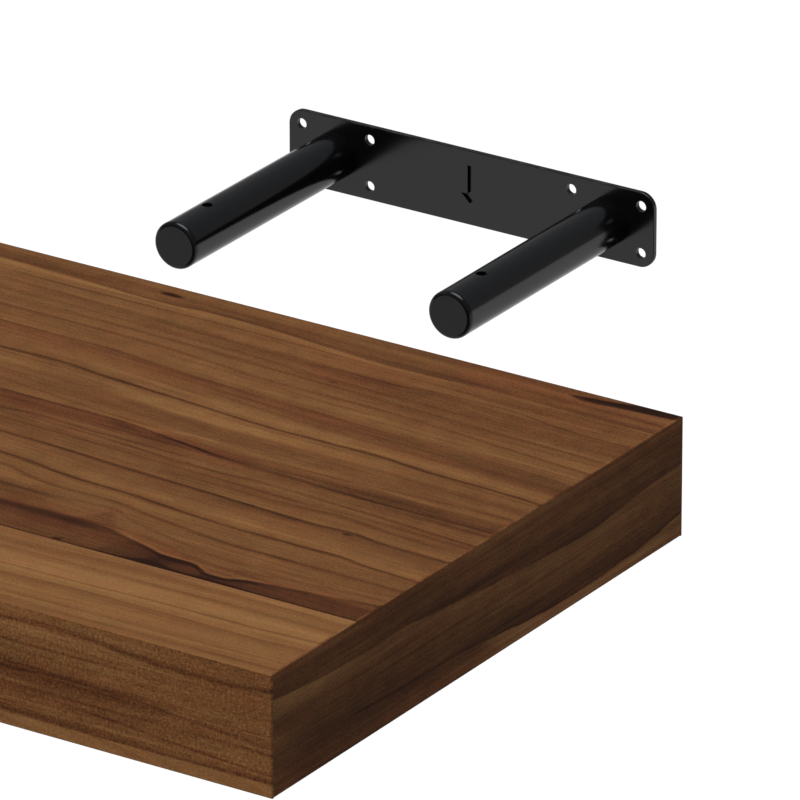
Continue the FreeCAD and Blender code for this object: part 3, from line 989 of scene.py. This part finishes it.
def end_of_top(finish):
    """The top's tone where its growth lines run out over the end strips."""
    x, y, z = in_millimetres(finish)
    depth = board_back - y
    wide, stave = top_grounds(finish, x, depth)
    curve = [(y / board_depth, tone) for y, tone in end_of_lines]
    lines = finish.node("ShaderNodeFloatCurve", {"points": curve}, {"Value": depth / board_depth})
    return joined(wide - lines, stave - lines, depth)


def front_tone(finish):
    """Front: lively and rippled, with a paler strip of other wood along its lower edge."""
    x, y, z = in_millimetres(finish)
    down = board_top - z
    plain = band_tone(finish, x, down, 41.0, front_lines, 0.62, 1.15, 0.5)
    ripple = finish.point(x, down, 43.0)
    plain = plain + stretched(finish, ripple, 0.8, 2.2, 43.0) * 0.36
    low_strip = down.rise(38.9, 39.3)
    plain = plain * (1 - low_strip) + low_strip * (0.74 + fibres(finish, x, down - x * 0.2, 47.0, 0.5) * 0.9)
    wide, stave = top_grounds(finish, x, board_back - y)
    return worn_and_highlit(finish, lifted(finish, plain, stave), board_end - x, x + board_end, z - board_bottom)


def right_tone(finish):
    """Right end: paler along its top and bottom towards the back and low at the front, darker before the middle."""
    x, y, z = in_millimetres(finish)
    down = board_top - z
    own = band_tone(finish, y - board_middle, down, 53.0, end_lines, 0.51)
    own = own + down.rise(5, 1.5) * y.rise(-350, -300) * 0.17
    own = own + down.rise(38.6, 40.4) * y.rise(-410, -330) * 0.13
    own = own + down.rise(17, 25) * y.rise(-405, -428) * 0.12
    own = own - y.rise(-400, -370) * y.rise(-290, -340) * 0.05
    return worn_and_highlit(finish, lifted(finish, own, end_of_top(finish)), board_top - z, y - board_front, z - board_bottom)


def left_tone(finish):
    """Left end: the figure of the right end, seen the other way round."""
    x, y, z = in_millimetres(finish)
    own = band_tone(finish, board_middle - y, board_top - z, 61.0, end_lines, 0.53)
    return worn_and_highlit(finish, lifted(finish, own, end_of_top(finish)), board_top - z, y - board_front, z - board_bottom)


def back_tone(finish):
    """Back: plain, and on its upper side darker towards the wedge in the corner."""
    x, y, z = in_millimetres(finish)
    own = band_tone(finish, x, board_top - z, 67.0, back_lines, 0.6)
    wide, stave = top_grounds(finish, x, board_back - y)
    upper = wide - x.rise(60, 110) * 0.12 - x.rise(172, 186) * 0.4
    return worn_and_highlit(finish, lifted(finish, own, upper), board_end - x, x + board_end, z - board_bottom)


def front_redness(finish):
    """Share of red in the front."""
    return plain_redness(finish) + 0.3


def end_redness(finish):
    """Share of red in the ends, which grows towards their upper and lower edges."""
    x, y, z = in_millimetres(finish)
    down = board_top - z
    return redness(finish, y, x + z, 35.0) + down.rise(6, 2) * 0.25 + down.rise(37, 40) * 0.45


covered("front_edge_band", foil("walnut_foil_front", front_tone, front_redness, (1, 0, 0)))
covered("right_edge_band", foil("walnut_foil_right", right_tone, end_redness, (0, 1, 0)))
covered("left_edge_band", foil("walnut_foil_left", left_tone, end_redness, (0, 1, 0)))
covered("back_edge_band", foil("walnut_foil_back", back_tone, plain_redness, (1, 0, 0)))


# Frame and post blocks
# Raw chipboard rails between the skins, and one thick block for each post. The back rail and the blocks are bored
# for the posts, and the pocket for the plate is milled into the back rail.


chip_colours = ((0.0, (128, 92, 58)), (0.45, (176, 139, 96)), (1.0, (214, 184, 142)))


def chipboard():
    """Pressed chips, seen where the board is cut or milled."""
    finish = Finish(bpy.data.materials.new("chipboard"))
    point = finish.place()
    warped = finish.node("ShaderNodeMapping", sockets={"Vector": point, "Scale": (320, 320, 900)})
    chips = finish.node("ShaderNodeTexVoronoi", {}, {"Vector": warped, "Scale": 1.0}, output="Color")
    chip = finish.node("ShaderNodeSeparateXYZ", sockets={0: chips})
    dust = noise(finish, point, 1500.0, 3.0)
    tone = chip * 0.6 + dust * 0.5 + 0.2
    colour = stained(finish, tone, chip_colours)
    relief = finish.relief(0.4, 0.2 * mm, tone)
    return finish.surface({"Base Color": colour, "Roughness": 0.85 - chip * 0.1, "Normal": relief})


raw_board = chipboard()
for node in ("front_rail", "back_rail", "left_end_rail", "right_end_rail", "left_post_block", "right_post_block"):
    covered(node, raw_board)


# Honeycomb core
# Brown paper cells that stand on edge and are glued to both skins.
# They keep the wide middle of the board light and flat.


paper_colours = ((0.2, (139, 101, 62)), (0.8, (188, 149, 104)))


def kraft_paper():
    """Brown paper with its fibres lying along the shelf and a few clouds."""
    finish = Finish(bpy.data.materials.new("kraft_paper"))
    point = finish.place()
    lying = finish.node("ShaderNodeMapping", sockets={"Vector": point, "Scale": (900, 900, 2600)})
    fibre = noise(finish, lying, 1.0, 3.0)
    cloud = noise(finish, point, 120.0, 2.0)
    colour = stained(finish, 0.5 + fibre + cloud * 0.6, paper_colours)
    relief = finish.relief(0.3, 0.05 * mm, fibre)
    return finish.surface({"Base Color": colour, "Roughness": 0.85 + cloud * 0.1, "Normal": relief})


covered("honeycomb_core", kraft_paper())


# Locking screws
# Zinc plated pan head screws, driven up from below through the cross hole of each post.
# The head has a cross recess, and the shank a cut thread down to the point.

screw_head_radius = 3.4 * mm
screw_head_height = 2.2 * mm
screw_head_round = 0.9 * mm
screw_core_radius = 1.2 * mm
screw_thread_radius = 1.75 * mm
screw_thread_pitch = 1.25 * mm
thread_half_width = 0.22 * mm
thread_root = screw_core_radius - 0.1 * mm
thread_inset = 0.5 * mm
turn_steps = 24
screw_point_length = 3.0 * mm
recess_reach = 1.9 * mm
recess_half_width = 0.45 * mm
recess_depth = 1.3 * mm


def plated_steel():
    """Zinc plate, clouded from bright to dull."""
    finish = Finish(bpy.data.materials.new("plated_steel"))
    point = finish.place()
    cloud = noise(finish, point, 500.0, 3.0)
    colour = finish.mix(0.5 + cloud, foil_colour((150, 148, 142)), foil_colour((196, 193, 184)))
    return finish.surface({"Base Color": colour, "Metallic": 1.0, "Roughness": 0.32 + cloud * 0.2})


zinc = plated_steel()
for name, side in (("left", -1), ("right", 1)):
    low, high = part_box(name + "_locking_screw")
    middle = (low + high) / 2
    seat = screw_head_height
    screw = bmesh.new()
    rim = round_loop(screw, 0, 0, screw_head_radius, 48)
    w, r = recess_half_width, recess_reach
    cross = drawn_loop(screw, [(w, r), (-w, r), (-w, w), (-r, w), (-r, -w), (-w, -w), (-w, -r), (w, -r), (w, -w),
                               (r, -w), (r, w), (w, w)])
    face = filled(screw, rim + cross)
    cross_faces = filled(screw, cross)
    pushed(screw, face + cross_faces, Vector((0, 0, -seat)))
    bmesh.ops.recalc_face_normals(screw, faces=screw.faces[:])
    floor_faces = sunk(screw, cross_faces, recess_depth)
    deep = list({vert for item in floor_faces for vert in item.verts})
    bmesh.ops.scale(screw, verts=deep, vec=Vector((0.55, 0.55, 1)))
    softened(screw, sharp_edges(screw, lambda at: at.z > -0.1 * mm and at.xy.length > 3 * mm), screw_head_round, 5)
    length = high.z - low.z
    profile = [(0, -seat), (screw_core_radius, -seat), (screw_core_radius, -length + screw_point_length), (0, -length)]
    verts = [screw.verts.new((radius, 0, z)) for radius, z in profile]
    edges = [screw.edges.new(pair) for pair in zip(verts, verts[1:])]
    bmesh.ops.spin(screw, geom=verts + edges, cent=Vector(), axis=Vector((0, 0, 1)), angle=2 * math.pi, steps=32,
                   use_merge=True)
    turns = (length - seat - 0.6 * mm - screw_point_length * 0.4) / screw_thread_pitch
    steps = int(turns * turn_steps)
    start = -seat - thread_inset
    ridge = [(thread_root, start + thread_half_width), (screw_thread_radius, start),
             (thread_root, start - thread_half_width)]
    verts = [screw.verts.new((radius, 0, z)) for radius, z in ridge]
    edges = [screw.edges.new(pair) for pair in zip(verts, verts[1:])]
    edges.append(screw.edges.new((verts[2], verts[0])))
    screw.verts.ensure_lookup_table()
    bmesh.ops.spin(screw, geom=verts + edges, cent=Vector(), axis=Vector((0, 0, 1)),
                   dvec=Vector((0, 0, -screw_thread_pitch / turn_steps)),
                   angle=2 * math.pi * steps / turn_steps, steps=steps)
    bmesh.ops.holes_fill(screw, edges=[edge for edge in screw.edges if edge.is_boundary], sides=4)
    taper_start = -length + screw_point_length
    for vert in screw.verts:
        if vert.co.z < taper_start and vert.co.xy.length > screw_core_radius * 0.5:
            share = max(0.1, (vert.co.z + length) / screw_point_length)
            reach = vert.co.xy.length
            fit = max(0.15 * mm, reach * share)
            vert.co.x *= fit / reach
            vert.co.y *= fit / reach
    bmesh.ops.remove_doubles(screw, verts=screw.verts[:], dist=0.001 * mm)
    bmesh.ops.rotate(screw, verts=screw.verts[:], matrix=Matrix.Rotation(math.pi, 3, "X"))
    bmesh.ops.translate(screw, verts=screw.verts[:], vec=Vector((middle.x, middle.y, low.z)))
    bmesh.ops.recalc_face_normals(screw, faces=screw.faces[:])
    placed(screw, name + "_pan_head_screw", zinc, name + "_lock", "screw_steel", name + "_locking_screw")
